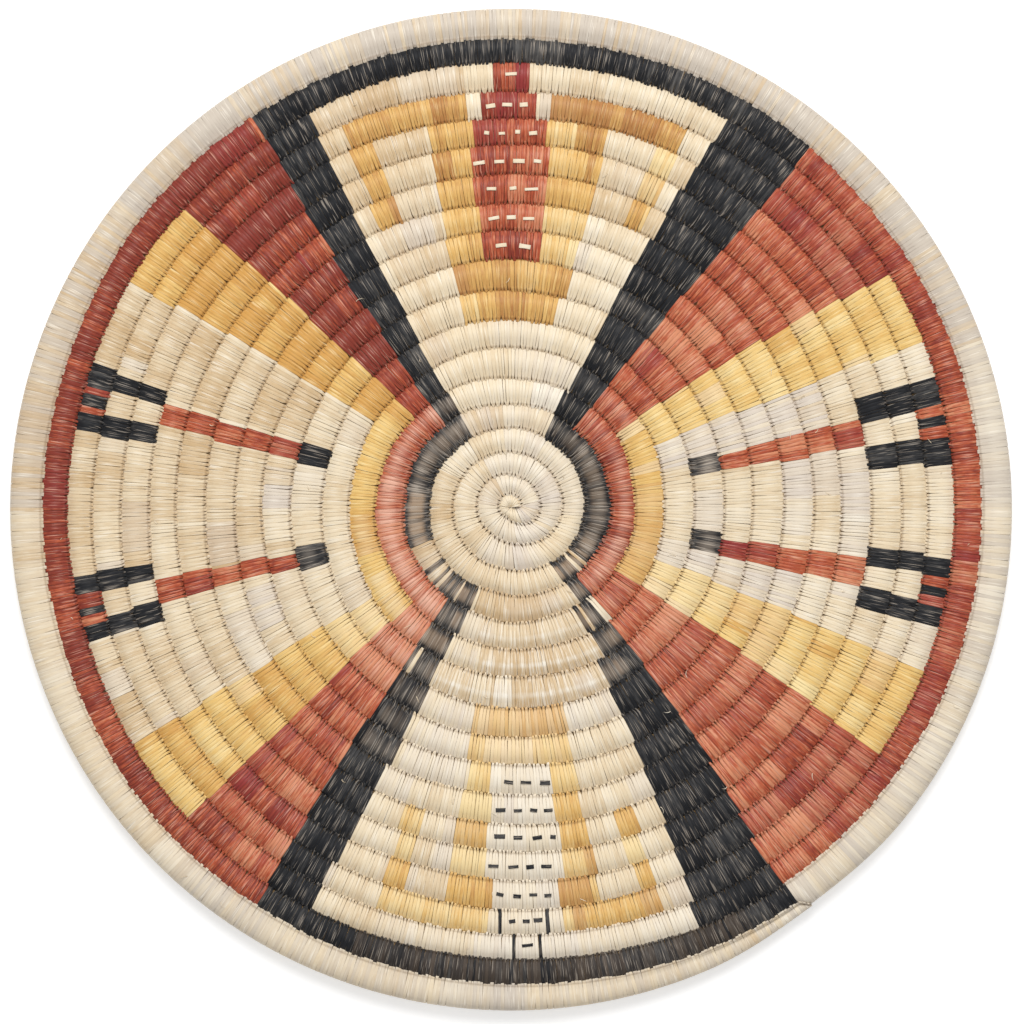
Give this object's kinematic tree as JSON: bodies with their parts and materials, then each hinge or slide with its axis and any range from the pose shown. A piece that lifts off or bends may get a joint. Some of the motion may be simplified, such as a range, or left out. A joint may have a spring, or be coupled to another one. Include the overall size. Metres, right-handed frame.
{
  "type": "coiled basketry plaque",
  "caption": "Flat round coiled basketry plaque: a spiral of grass bundle sewn with coloured splints in a rayed sector pattern; rests flat on its back or is shown on a wall.",
  "frame": {"origin": "middle of the plaque's underside, on the surface that it lies on", "axes": "+Z out of the decorated face; +Y towards the top of the pattern, +X to its right"},
  "size_m": [0.3547, 0.3551, 0.0105],
  "materials": {
    "natural": "undyed yucca splint, satin",
    "yellow": "yellow dyed splint, satin",
    "ochre": "ochre dyed splint, satin",
    "red": "red-brown dyed splint, satin",
    "black": "black dyed splint, dull",
    "grass": "dry grass bundle, matt"
  },
  "bodies": {
    "root": {"grass_bundle": "grass", "start_knot": "natural", "natural_heart": "natural", "black_crescent_right": "black", "black_crescent_left": "black", "natural_crescent_top": "natural", "natural_crescent_bottom": "natural", "red_crescent_right": "red", "red_crescent_left": "red", "yellow_crescent_right": "yellow", "yellow_crescent_left": "yellow", "red_ray_lower_right": "red", "yellow_ray_lower_right": "yellow", "natural_fan_right": "natural", "yellow_ray_upper_right": "yellow", "red_ray_upper_right": "red", "black_ray_upper_right": "black", "natural_top_inner": "natural", "natural_top_right": "natural", "ochre_frame_right": "ochre", "red_ear_top": "red", "ochre_frame_left": "ochre", "natural_top_left": "natural", "black_ray_upper_left": "black", "red_ray_upper_left": "red", "yellow_ray_upper_left": "yellow", "natural_fan_left": "natural", "yellow_ray_lower_left": "yellow", "red_ray_lower_left": "red", "black_ray_lower_left": "black", "natural_bottom_inner": "natural", "natural_bottom_left": "natural", "pale_ear_bottom": "natural", "natural_bottom_right": "natural", "black_ray_lower_right": "black", "border_red_right": "red", "border_black_top": "black", "border_red_left": "red", "border_black_bottom": "black", "rim_coil": "natural", "rim_tip": "natural"}
  },
  "joints": []
}
